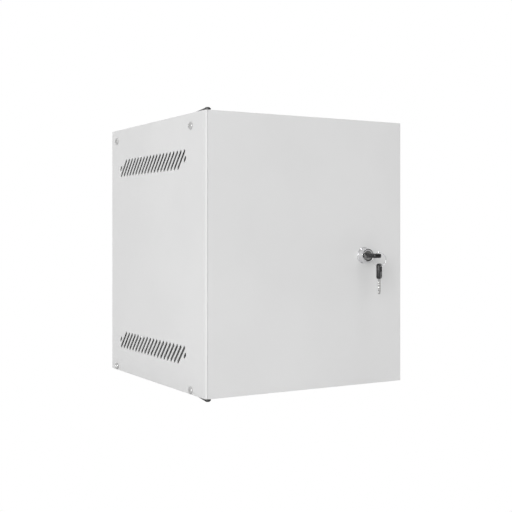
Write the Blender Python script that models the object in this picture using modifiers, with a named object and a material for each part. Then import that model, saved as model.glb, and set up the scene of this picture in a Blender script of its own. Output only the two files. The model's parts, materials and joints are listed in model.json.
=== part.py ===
"""A 10-inch wall-mounting network cabinet for six rack units, with its door, lock and keys.

The front faces -Y, +X is to the right and +Z is up. The origin is the centre of the rear
panel's outer face, which hangs against the wall. All lengths are in metres.
"""

import math

import bmesh
import bpy
from mathutils import Matrix, Vector

# Overall size
WIDTH = 0.300
DEPTH = 0.311
HEIGHT = 0.354
GAP = 0.0003
SHEET = 0.0012
BEND = 0.0016

# Door: a shallow pan that covers the front
DOOR_DEPTH = 0.008
DOOR_BEND = 0.0026
DOOR_LIP = 0.012
DOOR_TRIM = 0.0004
FRONT = -DEPTH
LEFT = -WIDTH / 2
TOP = HEIGHT / 2
BASE = -HEIGHT / 2

# Body shell
BODY_HALF = WIDTH / 2 - 0.001
BODY_FRONT = FRONT + 0.0102
FRONT_FLANGE = 0.020
TOP_FLANGE = 0.024
BOTTOM_FLANGE = 0.018
REAR_FLANGE = 0.030
SHELL_HALF = BODY_HALF - SHEET - GAP
PLATE_REAR = -SHEET - GAP

# Side screws, from the front face and from the nearest horizontal edge
SCREW_FRONT = FRONT + 0.044
SCREW_REAR = FRONT + 0.291
SCREW_BELOW_TOP = 0.016
SCREW_ABOVE_BASE = 0.0054

# Vents: slanted slots in two rows on each side panel
SLOTS = 19
SLOT_PITCH = 0.01072
SLOT_LENGTH = 0.0330
SLOT_WIDTH = 0.0046
SHORT_SLOT = 0.0095
SLOT_LEAN = math.radians(43)
VENT_MIDDLE = FRONT + 0.169
VENT_HEIGHTS = (BASE + 0.0467, TOP - 0.0570)

# Equipment rails: 10-inch pattern, three square holes to a rack unit
UNIT = 0.04445
UNITS = 6
RAIL_HOLE = 0.0095
RAIL_HOLE_HALF_SPACING = 0.11825
RAIL_HOLE_OFFSETS = (0.00635, 0.022225, 0.0381)
RAIL_SHEET = 0.0015
RAIL_FRONT = FRONT + 0.035
RAIL_INNER = 0.1113
RAIL_OUTER = 0.1273
RAIL_DEPTH = 0.045
RAIL_TAB = 0.0175
RAIL_TAB_START = 0.027
TAB_INSET = 0.00005

# Rear fixings, rail fixings and cable entries
REAR_SCREW_X = 0.105
REAR_SCREW_Z = 0.009
RAIL_SCREW_X = RAIL_OUTER + 0.0085
RAIL_SCREW_Y = RAIL_FRONT + 0.036
ENTRY = (0.050, 0.020)
ENTRY_Y = -0.055
REAR_ENTRY = (0.055, 0.0225)
REAR_ENTRY_Z = BASE + 0.075
KEYHOLE_X = 0.100
KEYHOLE_Z = TOP - 0.078
KEYHOLE_RADIUS = 0.0060
KEYHOLE_SLOT = 0.0030
KEYHOLE_RISE = 0.012
LOW_HOLE_Z = BASE + 0.045
LOW_HOLE_RADIUS = 0.0035
COVER_RIM = 0.004
COVER_SHEET = 0.0015

# Holes in sheet: pilot and clearance holes for the screws, and the half length of a hole's cutter
PILOT_RADIUS = 0.0018
CLEAR_RADIUS = 0.0024
HOLE_REACH = 0.004

# Pan-head screws: head radius, head height, shank radius, shank length
SIDE_SCREW = (0.0047, 0.0022, 0.0015, 0.0080)
HINGE_SCREW = (0.0038, 0.0018, 0.0015, 0.0062)
RAIL_SCREW = (0.0040, 0.0020, 0.0015, 0.0030)
REAR_SCREW = (0.0038, 0.0018, 0.0015, 0.0030)
CAM_SCREW = (0.0050, 0.0020, 0.0014, 0.0040)

# Hinges: a strap on the top and on the base, each with a riveted pin
PIVOT = Vector((LEFT + 0.0042, FRONT + 0.0040))
STRAP = 0.0015
STRAP_NOSE = 0.0040
STRAP_END = 0.0065
STRAP_SCREWS = ((0.0135, 0.036), (0.0165, 0.057))
PIN_RADIUS = 0.0015
PIN_HEAD = 0.0009
PIN_HEAD_RADIUS = 0.0030
PIN_LENGTH = 0.0105
BUSH_RADIUS = 0.0022
BUSH_LENGTH = 0.007
BUSH_BORE = PIN_RADIUS + 0.0002

# Cam lock
LOCK_X = LEFT + 0.237
LOCK_Z = BASE + 0.1728
LOCK_FLANGE_RADIUS = 0.0110
LOCK_HEAD = 0.0100
LOCK_HEAD_RADIUS = 0.0092
LOCK_RIM = 0.0018
LOCK_NUT_RADIUS = 0.0127
LOCK_NUT = 0.0040
PLUG_TAIL = 0.0036
LOCK_BARREL_RADIUS = 0.0080
LOCK_LENGTH = 0.0120
PLUG_RADIUS = 0.0060
CAM_SHEET = 0.0020
CAM_REACH = 0.044
CAM_HUB = 0.0090
CAM_TIP = 0.0060
KEYWAY = (0.0084, 0.0026)

# Key: a flat blade with a moulded bow that has a window for the ring
BLADE = (0.0076, 0.0020)
BLADE_LENGTH = 0.020
BOW_HALF_WIDTH = 0.0064
BOW_LENGTH = 0.0202
BOW_THICKNESS = 0.0055
BOW_RIM = 0.0024
BOW_CLEAR = 0.0022
WINDOW_LENGTH = 0.0084
BLADE_IN_BOW = 0.0090
RING_RADIUS = 0.0090
RING_WIRE = 0.0006
RING_RISE = 0.0040
RING_YAW = math.radians(-30)
SPARE_YAW = math.radians(-50)
SPARE_DROP = 0.0014

ROUND = 24
SMALL_ROUND = 12

# Finishes: colour, roughness, metallic
POWDER = ((0.70, 0.71, 0.71, 1), 0.55, 0.0)
ZINC = ((0.62, 0.62, 0.60, 1), 0.35, 0.9)
DARK_ZINC = ((0.20, 0.20, 0.20, 1), 0.40, 0.8)
CHROME = ((0.75, 0.75, 0.76, 1), 0.10, 1.0)
NICKEL = ((0.66, 0.65, 0.62, 1), 0.25, 1.0)
BLACK_PLASTIC = ((0.015, 0.015, 0.017, 1), 0.45, 0.0)
GREY_PLASTIC = ((0.52, 0.53, 0.53, 1), 0.55, 0.0)
RUBBER = ((0.03, 0.03, 0.03, 1), 0.80, 0.0)
NYLON = ((0.05, 0.05, 0.05, 1), 0.50, 0.0)


def clear_scene():
    for obj in list(bpy.data.objects):
        bpy.data.objects.remove(obj)


def new_collection(name):
    collection = bpy.data.collections.new(name)
    bpy.context.scene.collection.children.link(collection)
    return collection


clear_scene()
parts = new_collection("network_cabinet")
cutters = new_collection("cutters")
cutters.hide_render = True


def finish_material(name, finish):
    colour, roughness, metallic = finish
    material = bpy.data.materials.new(name)
    material.use_nodes = True
    shader = material.node_tree.nodes["Principled BSDF"]
    shader.inputs["Base Color"].default_value = colour
    shader.inputs["Roughness"].default_value = roughness
    shader.inputs["Metallic"].default_value = metallic
    material.diffuse_color = colour
    return material


def part(name, mesh, finish, pivot=None, matrix=None):
    """An object for one sub-part. A mesh in world position is moved so that its origin is the pivot."""
    obj = bpy.data.objects.new(name, mesh)
    parts.objects.link(obj)
    if not mesh.materials:
        mesh.materials.append(finish_material(name, finish))
    if pivot:
        obj.parent = pivot
        if matrix is None:
            mesh.transform(Matrix.Translation(-world_place(pivot)))
    if matrix is not None:
        obj.matrix_local = matrix
    return obj


def world_place(empty):
    place = empty.location.copy()
    while empty.parent:
        empty = empty.parent
        place += empty.location
    return place


def pivot_empty(name, place, parent=None):
    """An empty on a joint's axis. It isn't rotated, so places add up along the chain."""
    empty = bpy.data.objects.new(name, None)
    empty.empty_display_size = 0.02
    parts.objects.link(empty)
    if parent:
        empty.parent = parent
        place = Vector(place) - world_place(parent)
    empty.location = place
    return empty


def as_mesh(bm, name, smooth=False):
    bmesh.ops.recalc_face_normals(bm, faces=bm.faces)
    mesh = bpy.data.meshes.new(name)
    bm.to_mesh(mesh)
    bm.free()
    if smooth:
        mesh.shade_smooth()
        mesh.set_sharp_from_angle(angle=math.radians(35))
    return mesh


def add_box(bm, low, high):
    low = Vector(low)
    high = Vector(high)
    size = Matrix.Diagonal((*(high - low), 1))
    return bmesh.ops.create_cube(bm, size=1, matrix=Matrix.Translation((low + high) / 2) @ size)["verts"]


def add_disc(bm, centre, axis, low, high, radius, segments=SMALL_ROUND, end_radius=None):
    """A cylinder or a cone between two places along X, Y or Z."""
    turn = {
        "X": Matrix.Rotation(math.pi / 2, 4, "Y"),
        "Y": Matrix.Rotation(-math.pi / 2, 4, "X"),
        "Z": Matrix.Identity(4),
    }[axis]
    place = Vector(centre)
    place["XYZ".index(axis)] = (low + high) / 2
    return bmesh.ops.create_cone(
        bm,
        cap_ends=True,
        segments=segments,
        radius1=radius,
        radius2=radius if end_radius is None else end_radius,
        depth=high - low,
        matrix=Matrix.Translation(place) @ turn,
    )["verts"]


def boolean(obj, cutter_bm, operation="DIFFERENCE"):
    """Cuts the shapes in a bmesh from an object, or joins them to it."""
    name = f"{obj.name}_{operation.lower()}_{len(obj.modifiers)}"
    cutter = bpy.data.objects.new(name, as_mesh(cutter_bm, name))
    cutters.objects.link(cutter)
    cutter.display_type = "WIRE"
    cutter.hide_render = True
    if obj.parent:
        cutter.parent = obj.parent
        cutter.data.transform(Matrix.Translation(-world_place(obj.parent)))
    modifier = obj.modifiers.new(operation.title(), "BOOLEAN")
    modifier.operation = operation
    modifier.object = cutter


def solidify(obj, thickness=SHEET):
    """Thickens an open surface towards its inner side."""
    modifier = obj.modifiers.new("Sheet", "SOLIDIFY")
    modifier.thickness = thickness
    modifier.offset = -1
    modifier.use_even_offset = True


def bend_edges(bm, radius, segments=2):
    """Rounds every fold of an open surface."""
    folds = [edge for edge in bm.edges if len(edge.link_faces) == 2 and edge.calc_face_angle() > 0.5]
    bmesh.ops.bevel(
        bm, geom=folds, offset=radius, segments=segments, profile=0.5, affect="EDGES"
    )


def tray(low, high, open_sides, radius=BEND):
    """The surface of a box without the faces that look along the open sides, such as '-Z'."""
    bm = bmesh.new()
    add_box(bm, low, high)
    bmesh.ops.recalc_face_normals(bm, faces=bm.faces)
    gone = []
    for side in open_sides:
        direction = Vector([float(axis == side[1]) for axis in "XYZ"])
        if side[0] == "-":
            direction = -direction
        gone += [face for face in bm.faces if face.normal.dot(direction) > 0.9]
    bmesh.ops.delete(bm, geom=gone, context="FACES")
    bend_edges(bm, radius)
    return bm


def surface_mesh(bm, name):
    """An open surface's mesh. Its normals were set outward before its open faces were removed."""
    mesh = bpy.data.meshes.new(name)
    bm.to_mesh(mesh)
    bm.free()
    return mesh


def folded_strip(points, axis_low, axis_high, radius=BEND):
    """A sheet folded along Z through points in the XY plane, with its outer side to the right."""
    bm = bmesh.new()
    rows = [[bm.verts.new((x, y, z)) for x, y in points] for z in (axis_low, axis_high)]
    for i in range(len(points) - 1):
        bm.faces.new((rows[0][i], rows[0][i + 1], rows[1][i + 1], rows[1][i]))
    bend_edges(bm, radius)
    return bm


def hull_plate(discs, low, high, axis="Z"):
    """A flat plate whose outline wraps round its discs, each a centre and a radius."""
    bm = bmesh.new()
    for centre, radius in discs:
        add_disc(bm, centre, axis, low, high, radius, ROUND)
    result = bmesh.ops.convex_hull(bm, input=bm.verts)
    inside = {item for item in result["geom_interior"] if isinstance(item, bmesh.types.BMVert)}
    bmesh.ops.delete(bm, geom=list(inside), context="VERTS")
    used = {face for face in result["geom"] if isinstance(face, bmesh.types.BMFace) and face.is_valid}
    spare = [face for face in bm.faces if face not in used]
    bmesh.ops.delete(bm, geom=spare, context="FACES")
    bmesh.ops.dissolve_limit(bm, angle_limit=0.01, verts=bm.verts, edges=bm.edges)
    return bm


def turned_mesh(name, profile, steps):
    """Turns a closed profile of (radius, height) round Z."""
    bm = bmesh.new()
    verts = [bm.verts.new((radius, 0, height)) for radius, height in profile]
    for i, vert in enumerate(verts):
        following = verts[(i + 1) % len(verts)]
        if vert.co.x or following.co.x:
            bm.edges.new((vert, following))
    bmesh.ops.spin(
        bm,
        geom=bm.verts[:] + bm.edges[:],
        axis=(0, 0, 1),
        cent=(0, 0, 0),
        angle=2 * math.pi,
        steps=steps,
        use_merge=True,
    )
    bmesh.ops.remove_doubles(bm, verts=bm.verts, dist=1e-6)
    return as_mesh(bm, name, smooth=True)


def pan_screw_mesh(name, head_radius, head_height, shank_radius, shank_length):
    """A pan-head screw along Z. Its head starts at z = 0 and its shank runs down."""
    dome = [
        (head_radius * math.cos(angle), head_height * (0.35 + 0.65 * math.sin(angle)))
        for angle in (0, math.radians(40), math.radians(65))
    ]
    profile = [(0, head_height), *reversed(dome), (head_radius, 0), (shank_radius, 0)]
    profile += [(shank_radius, -shank_length), (0, -shank_length)]
    return turned_mesh(name, profile, SMALL_ROUND)


def facing(direction):
    """Turns +Z to a direction along X, Y or Z."""
    return Vector(direction).to_track_quat("Z", "Y").to_matrix().to_4x4()


def side_screw_places():
    """Name, side, depth and height of each side panel's screws."""
    for side, side_name in ((-1, "left"), (1, "right")):
        for height, height_name in ((TOP - SCREW_BELOW_TOP, "top"), (BASE + SCREW_ABOVE_BASE, "bottom")):
            for depth, depth_name in ((SCREW_FRONT, "front"), (SCREW_REAR, "rear")):
                yield f"{side_name}_{height_name}_{depth_name}", side, depth, height


def vent_cutter(side):
    """The two rows of slanted slots, each with a short slot before and after the full ones."""
    bm = bmesh.new()
    lean = Matrix.Rotation(SLOT_LEAN, 4, "X")
    for height in VENT_HEIGHTS:
        for i in range(-1, SLOTS + 1):
            length = SLOT_LENGTH if 0 <= i < SLOTS else SHORT_SLOT
            depth = VENT_MIDDLE + (i - (SLOTS - 1) / 2) * SLOT_PITCH
            place = Matrix.Translation((side * BODY_HALF, depth, height))
            size = Matrix.Diagonal((0.01, SLOT_WIDTH, length, 1))
            bmesh.ops.create_cube(bm, size=1, matrix=place @ lean @ size)
    return bm


def build_side_panel(side, name):
    """A side panel with a flange behind the door, vents and four screw holes."""
    edge = side * BODY_HALF
    points = [(edge, 0), (edge, BODY_FRONT), (edge - side * FRONT_FLANGE, BODY_FRONT)]
    if side > 0:
        points.reverse()
    panel = part(name, surface_mesh(folded_strip(points, BASE, TOP), name), POWDER)
    solidify(panel)
    boolean(panel, vent_cutter(side))
    holes = bmesh.new()
    for _, screw_side, depth, height in side_screw_places():
        if screw_side == side:
            add_disc(holes, (0, depth, height), "X", edge - HOLE_REACH, edge + HOLE_REACH, CLEAR_RADIUS)
    boolean(panel, holes)


def build_horizontal_panel(name, up):
    """The top or bottom panel: a tray between the side panels, open at the rear, with a cable entry."""
    outer = TOP if up > 0 else BASE
    flange = TOP_FLANGE if up > 0 else BOTTOM_FLANGE
    inner = outer - up * flange
    low = (-SHELL_HALF, BODY_FRONT, min(outer, inner))
    high = (SHELL_HALF, PLATE_REAR, max(outer, inner))
    open_side = "-Z" if up > 0 else "+Z"
    panel = part(name, surface_mesh(tray(low, high, (open_side,)), name), POWDER)
    solidify(panel)
    cut = bmesh.new()
    notch_x = BODY_HALF - FRONT_FLANGE - GAP
    notch_y = BODY_FRONT + SHEET + GAP
    beyond = 0.02
    for side in (-1, 1):
        x_low, x_high = sorted((side * notch_x, side * (SHELL_HALF + beyond)))
        add_box(cut, (x_low, BODY_FRONT - beyond, BASE - beyond), (x_high, notch_y, TOP + beyond))
        x_low, x_high = sorted((side * (SHELL_HALF - SHEET - GAP), side * (SHELL_HALF + beyond)))
        z_low, z_high = sorted((outer - up * (SHEET + GAP), inner - up * beyond))
        add_box(cut, (x_low, -REAR_FLANGE - GAP - SHEET, z_low), (x_high, beyond, z_high))
    boolean(panel, cut)
    holes = bmesh.new()
    for _, side, depth, height in side_screw_places():
        if height * up > 0 and depth == SCREW_FRONT:
            edge = side * SHELL_HALF
            add_disc(holes, (0, depth, height), "X", edge - HOLE_REACH, edge + HOLE_REACH, PILOT_RADIUS)
    reach = (outer - HOLE_REACH, outer + HOLE_REACH)
    for x in (-1, 1):
        height = outer - up * REAR_SCREW_Z
        add_disc(holes, (x * REAR_SCREW_X, 0, height), "Y", -0.006, 0.002, PILOT_RADIUS)
        add_disc(holes, (x * RAIL_SCREW_X, RAIL_SCREW_Y, 0), "Z", *reach, PILOT_RADIUS)
    for s, d in STRAP_SCREWS:
        add_disc(holes, (LEFT + s, FRONT + d, 0), "Z", *reach, PILOT_RADIUS)
    boolean(panel, holes)
    entry = bmesh.new()
    low = (-ENTRY[0], ENTRY_Y - ENTRY[1], outer - 0.01)
    add_box(entry, low, (ENTRY[0], ENTRY_Y + ENTRY[1], outer + 0.01))
    boolean(panel, entry)


def build_rear_panel():
    """The rear panel: a plate with side flanges, keyholes to hang it by and a cable entry."""
    low = (-SHELL_HALF, -REAR_FLANGE, BASE + SHEET + GAP)
    high = (SHELL_HALF, 0, TOP - SHEET - GAP)
    surface = surface_mesh(tray(low, high, ("-Y", "-Z", "+Z")), "rear_panel")
    panel = part("rear_panel", surface, POWDER)
    solidify(panel)
    cut = bmesh.new()
    add_box(
        cut,
        (-REAR_ENTRY[0], -0.01, REAR_ENTRY_Z - REAR_ENTRY[1]),
        (REAR_ENTRY[0], 0.01, REAR_ENTRY_Z + REAR_ENTRY[1]),
    )
    for side in (-1, 1):
        x = side * KEYHOLE_X
        add_disc(cut, (x, 0, LOW_HOLE_Z), "Y", -0.01, 0.01, LOW_HOLE_RADIUS)
        for z in (TOP - REAR_SCREW_Z, BASE + REAR_SCREW_Z):
            add_disc(cut, (side * REAR_SCREW_X, 0, z), "Y", -0.01, 0.01, PILOT_RADIUS)
        for _, screw_side, depth, height in side_screw_places():
            if screw_side == side and depth == SCREW_REAR:
                edge = side * SHELL_HALF
                add_disc(cut, (0, depth, height), "X", edge - HOLE_REACH, edge + HOLE_REACH, PILOT_RADIUS)
    boolean(panel, cut)
    for side in (-1, 1):
        x = side * KEYHOLE_X
        round_part = bmesh.new()
        add_disc(round_part, (x, 0, KEYHOLE_Z), "Y", -0.01, 0.01, KEYHOLE_RADIUS, ROUND)
        boolean(panel, round_part)
        slot = bmesh.new()
        top = KEYHOLE_Z + KEYHOLE_RISE
        add_box(slot, (x - KEYHOLE_SLOT, -0.01, KEYHOLE_Z), (x + KEYHOLE_SLOT, 0.01, top))
        boolean(panel, slot)


def build_cable_cover(name, up):
    """A snap-in cover: a flange inside the panel and a raised middle that fills the entry."""
    outer = TOP if up > 0 else BASE
    face = outer - up * 0.0002
    under = outer - up * (SHEET + GAP)
    inner = under - up * COVER_SHEET
    flange = bmesh.new()
    low, high = sorted((inner, under))
    half_x = ENTRY[0] + COVER_RIM
    half_y = ENTRY[1] + COVER_RIM
    add_box(flange, (-half_x, ENTRY_Y - half_y, low), (half_x, ENTRY_Y + half_y, high))
    cover = part(name, as_mesh(flange, name), GREY_PLASTIC)
    middle = bmesh.new()
    low, high = sorted((inner + up * 0.0004, face))
    add_box(
        middle,
        (-ENTRY[0] + GAP, ENTRY_Y - ENTRY[1] + GAP, low),
        (ENTRY[0] - GAP, ENTRY_Y + ENTRY[1] - GAP, high),
    )
    boolean(cover, middle, "UNION")


def build_rail(side, name):
    """An equipment rail: a front face with square holes, a web running back and a fixing tab at each end."""
    low_z = BASE + SHEET + GAP
    high_z = TOP - SHEET - GAP
    points = [
        (side * RAIL_INNER, RAIL_FRONT),
        (side * RAIL_OUTER, RAIL_FRONT),
        (side * RAIL_OUTER, RAIL_FRONT + RAIL_DEPTH),
    ]
    if side < 0:
        points.reverse()
    strip = folded_strip(points, low_z, high_z)
    rail = part(name, surface_mesh(strip, name), ZINC)
    solidify(rail, RAIL_SHEET)
    tabs = bmesh.new()
    x_low, x_high = sorted((side * (RAIL_OUTER - RAIL_SHEET / 2), side * (RAIL_OUTER + RAIL_TAB)))
    for z in (low_z, high_z - RAIL_SHEET):
        lift = z + (TAB_INSET if z == low_z else -TAB_INSET)
        y_high = RAIL_FRONT + RAIL_DEPTH - 0.001
        add_box(tabs, (x_low, RAIL_FRONT + RAIL_TAB_START, lift), (x_high, y_high, lift + RAIL_SHEET))
    boolean(rail, tabs, "UNION")
    holes = bmesh.new()
    bottom = -UNITS * UNIT / 2
    half = RAIL_HOLE / 2
    for unit in range(UNITS):
        for offset in RAIL_HOLE_OFFSETS:
            x = side * RAIL_HOLE_HALF_SPACING
            z = bottom + unit * UNIT + offset
            add_box(holes, (x - half, RAIL_FRONT - 0.003, z - half), (x + half, RAIL_FRONT + 0.003, z + half))
    for z in (low_z, high_z):
        add_disc(holes, (side * RAIL_SCREW_X, RAIL_SCREW_Y, 0), "Z", z - 0.005, z + 0.005, CLEAR_RADIUS)
    boolean(rail, holes)


def build_screws():
    """All pan-head screws. Each kind shares one mesh."""
    side_mesh = pan_screw_mesh("side_screw", *SIDE_SCREW)
    for name, side, depth, height in side_screw_places():
        place = Matrix.Translation((side * (BODY_HALF + GAP), depth, height))
        part(f"side_screw_{name}", side_mesh, ZINC, matrix=place @ facing((side, 0, 0)))
    strap_mesh = pan_screw_mesh("hinge_screw", *HINGE_SCREW)
    rail_mesh = pan_screw_mesh("rail_screw", *RAIL_SCREW)
    rear_mesh = pan_screw_mesh("rear_screw", *REAR_SCREW)
    for level, up in (("upper", 1), ("lower", -1)):
        outer = up * TOP
        for i, (s, d) in enumerate(STRAP_SCREWS):
            place = Matrix.Translation((LEFT + s, FRONT + d, outer + up * (STRAP + 2 * GAP)))
            part(f"{level}_hinge_screw_{i + 1}", strap_mesh, ZINC, matrix=place @ facing((0, 0, up)))
        for side, side_name in ((-1, "left"), (1, "right")):
            inner = outer - up * (SHEET + 3 * GAP + RAIL_SHEET)
            place = Matrix.Translation((side * RAIL_SCREW_X, RAIL_SCREW_Y, inner))
            part(f"{level}_{side_name}_rail_screw", rail_mesh, ZINC, matrix=place @ facing((0, 0, -up)))
            seat = PLATE_REAR - SHEET - GAP
            place = Matrix.Translation((side * REAR_SCREW_X, seat, outer - up * REAR_SCREW_Z))
            part(f"{level}_{side_name}_rear_screw", rear_mesh, ZINC, matrix=place @ facing((0, -1, 0)))


def build_hinge(level, up, door):
    """A strap screwed to the top or base, its riveted pin, and the bush in the door that turns on the pin."""
    outer = up * TOP
    low, high = sorted((outer + up * GAP, outer + up * (GAP + STRAP)))
    discs = [((*PIVOT, 0), STRAP_NOSE)]
    discs += [((LEFT + s, FRONT + d, 0), STRAP_END) for s, d in STRAP_SCREWS]
    strap = part(f"{level}_hinge_strap", as_mesh(hull_plate(discs, low, high), "strap"), DARK_ZINC)
    holes = bmesh.new()
    add_disc(holes, (*PIVOT, 0), "Z", low - 0.001, high + 0.001, PIN_RADIUS + GAP)
    for s, d in STRAP_SCREWS:
        add_disc(holes, (LEFT + s, FRONT + d, 0), "Z", low - 0.001, high + 0.001, HINGE_SCREW[2] + 0.0004)
    boolean(strap, holes)
    edge = PIN_HEAD_RADIUS
    profile = [(0, PIN_HEAD), (edge * 0.8, PIN_HEAD), (edge, PIN_HEAD * 0.4), (edge, 0), (PIN_RADIUS, 0)]
    profile += [(PIN_RADIUS, -PIN_LENGTH + 0.0006), (PIN_RADIUS - 0.0006, -PIN_LENGTH), (0, -PIN_LENGTH)]
    place = Matrix.Translation((*PIVOT, outer + up * (STRAP + 2 * GAP)))
    pin = turned_mesh(f"{level}_pin", profile, SMALL_ROUND)
    part(f"{level}_hinge_pin", pin, DARK_ZINC, matrix=place @ facing((0, 0, up)))
    profile = [(BUSH_RADIUS, 0), (BUSH_RADIUS, -BUSH_LENGTH), (BUSH_BORE, -BUSH_LENGTH), (BUSH_BORE, 0)]
    place = Vector((*PIVOT, outer - up * (DOOR_TRIM + 0.0001))) - world_place(door)
    bush = turned_mesh(f"{level}_bush", profile, SMALL_ROUND)
    part(f"{level}_door_bush", bush, NYLON, door, Matrix.Translation(place) @ facing((0, 0, up)))


def build_door(door):
    """The door: a pan with a lip along its closing side, and a hat-shaped stiffener behind it."""
    half = HEIGHT / 2 - DOOR_TRIM
    rear = FRONT + DOOR_DEPTH
    pan = tray((LEFT, FRONT, -half), (-LEFT, rear, half), ("+Y",), DOOR_BEND)
    panel = part("door_panel", surface_mesh(pan, "door_panel"), POWDER, door)
    solidify(panel)
    lip = bmesh.new()
    low = (-LEFT - DOOR_LIP, rear - SHEET - 0.0001, -half + 0.006)
    add_box(lip, low, (-LEFT - SHEET / 2, rear - 0.0001, half - 0.006))
    boolean(panel, lip, "UNION")
    holes = bmesh.new()
    add_disc(holes, (LOCK_X, 0, LOCK_Z), "Y", FRONT - 0.003, FRONT + 0.004, LOCK_BARREL_RADIUS + GAP, ROUND)
    for z in (-half, half):
        add_disc(holes, (*PIVOT, 0), "Z", z - 0.003, z + 0.003, BUSH_RADIUS + GAP)
    boolean(panel, holes)

    web = FRONT + SHEET + GAP
    crown = web + 0.009
    points = [(-0.020, web), (-0.012, web), (-0.010, crown), (0.010, crown), (0.012, web), (0.020, web)]
    strip = folded_strip(points, -0.130, 0.130, 0.0008)
    stiffener = part("door_stiffener", surface_mesh(strip, "door_stiffener"), POWDER, door)
    solidify(stiffener, 0.0010)


def build_earth_point(prefix, place, direction, pivot=None):
    """An earthing stud welded to a sheet, with its nut."""
    stud_profile = [(0, 0.012), (0.0026, 0.012), (0.0030, 0.0115), (0.0030, 0.0012), (0.0055, 0.0010)]
    stud_profile += [(0.0055, 0), (0, 0)]
    origin = world_place(pivot) if pivot else Vector()
    turn = Matrix.Translation(Vector(place) - origin) @ facing(direction)
    part(f"{prefix}_earth_stud", turned_mesh("stud", stud_profile, SMALL_ROUND), ZINC, pivot, turn)
    bm = bmesh.new()
    add_disc(bm, (0, 0, 0), "Z", 0.0035, 0.0080, 0.0058, 6)
    nut = part(f"{prefix}_earth_nut", as_mesh(bm, "nut"), ZINC, pivot, turn)
    hole = bmesh.new()
    add_disc(hole, (0, 0, 0), "Z", 0.0025, 0.0090, 0.0033)
    cutter = bpy.data.objects.new(f"{prefix}_nut_bore", as_mesh(hole, "nut_bore"))
    cutters.objects.link(cutter)
    cutter.display_type = "WIRE"
    cutter.hide_render = True
    cutter.parent = pivot
    cutter.matrix_local = turn
    modifier = nut.modifiers.new("Bore", "BOOLEAN")
    modifier.object = cutter


def build_buffers():
    """Rubber buffers on the right-hand flange, which the door's lip closes on."""
    for name, z in (("upper_door_buffer", 0.120), ("lower_door_buffer", -0.120)):
        bm = bmesh.new()
        centre = (-LEFT - 0.0085, 0, z)
        rear = BODY_FRONT - GAP
        add_disc(bm, centre, "Y", FRONT + DOOR_DEPTH + GAP, rear, 0.0035, 16, 0.0042)
        part(name, as_mesh(bm, name, smooth=True), RUBBER)


def build_lock(door, plug):
    """The cam lock: its body and nut in the door, and the plug that turns with the cam and its screw."""
    face = FRONT - LOCK_HEAD
    rear = FRONT + LOCK_LENGTH
    bore = PLUG_RADIUS + GAP
    seat = LOCK_HEAD - GAP
    profile = [
        (bore, 0),
        (LOCK_HEAD_RADIUS, 0),
        (LOCK_HEAD_RADIUS + 0.0006, 0.0008),
        (LOCK_HEAD_RADIUS + 0.0010, LOCK_HEAD - LOCK_RIM - 0.0006),
        (LOCK_HEAD_RADIUS + 0.0012, LOCK_HEAD - LOCK_RIM - 0.0004),
        (LOCK_FLANGE_RADIUS, LOCK_HEAD - LOCK_RIM),
        (LOCK_FLANGE_RADIUS, seat),
        (LOCK_BARREL_RADIUS, seat),
        (LOCK_BARREL_RADIUS, rear - face),
        (bore, rear - face),
    ]
    turn = Matrix.Translation(Vector((LOCK_X, face, LOCK_Z)) - world_place(door)) @ facing((0, 1, 0))
    part("lock_body", turned_mesh("lock_body", profile, ROUND), CHROME, door, turn)
    nut = bmesh.new()
    front = FRONT + SHEET + GAP
    add_disc(nut, (LOCK_X, 0, LOCK_Z), "Y", front, front + LOCK_NUT, LOCK_NUT_RADIUS, 6)
    lock_nut = part("lock_nut", as_mesh(nut, "lock_nut"), ZINC, door)
    nut_bore = bmesh.new()
    radius = LOCK_BARREL_RADIUS + GAP
    add_disc(nut_bore, (LOCK_X, 0, LOCK_Z), "Y", front - 0.002, front + 0.006, radius, ROUND)
    boolean(lock_nut, nut_bore)

    cam_front = rear + 2 * GAP
    cam_rear = cam_front + CAM_SHEET
    profile = [
        (0, 0.0004),
        (PLUG_RADIUS - 0.0006, 0.0004),
        (PLUG_RADIUS, 0.0010),
        (PLUG_RADIUS, rear - face + GAP),
        (PLUG_TAIL, rear - face + GAP),
        (PLUG_TAIL, cam_rear - face),
        (0, cam_rear - face),
    ]
    turn = Matrix.Translation(Vector((LOCK_X, face, LOCK_Z)) - world_place(plug)) @ facing((0, 1, 0))
    plug_part = part("lock_plug", turned_mesh("lock_plug", profile, ROUND), NICKEL, plug, turn)
    keyway = bmesh.new()
    add_box(
        keyway,
        (LOCK_X - KEYWAY[0] / 2, face - 0.005, LOCK_Z - KEYWAY[1] / 2),
        (LOCK_X + KEYWAY[0] / 2, FRONT + 0.0088, LOCK_Z + KEYWAY[1] / 2),
    )
    boolean(plug_part, keyway)
    screw_hole = bmesh.new()
    add_disc(screw_hole, (LOCK_X, 0, LOCK_Z), "Y", FRONT + 0.0098, cam_rear + 0.002, 0.0017)
    boolean(plug_part, screw_hole)

    discs = [((LOCK_X, 0, LOCK_Z), CAM_HUB), ((LOCK_X, 0, LOCK_Z + CAM_REACH), CAM_TIP)]
    cam_mesh = as_mesh(hull_plate(discs, cam_front, cam_rear, "Y"), "lock_cam")
    cam = part("lock_cam", cam_mesh, ZINC, plug)
    cam_hole = bmesh.new()
    add_disc(cam_hole, (LOCK_X, 0, LOCK_Z), "Y", cam_front - 0.002, cam_rear + 0.002, PLUG_TAIL + GAP, ROUND)
    boolean(cam, cam_hole)
    screw_mesh = pan_screw_mesh("cam_screw", *CAM_SCREW)
    place = Vector((LOCK_X, cam_rear + GAP, LOCK_Z)) - world_place(plug)
    part("cam_screw", screw_mesh, ZINC, plug, Matrix.Translation(place) @ facing((0, 1, 0)))


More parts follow.
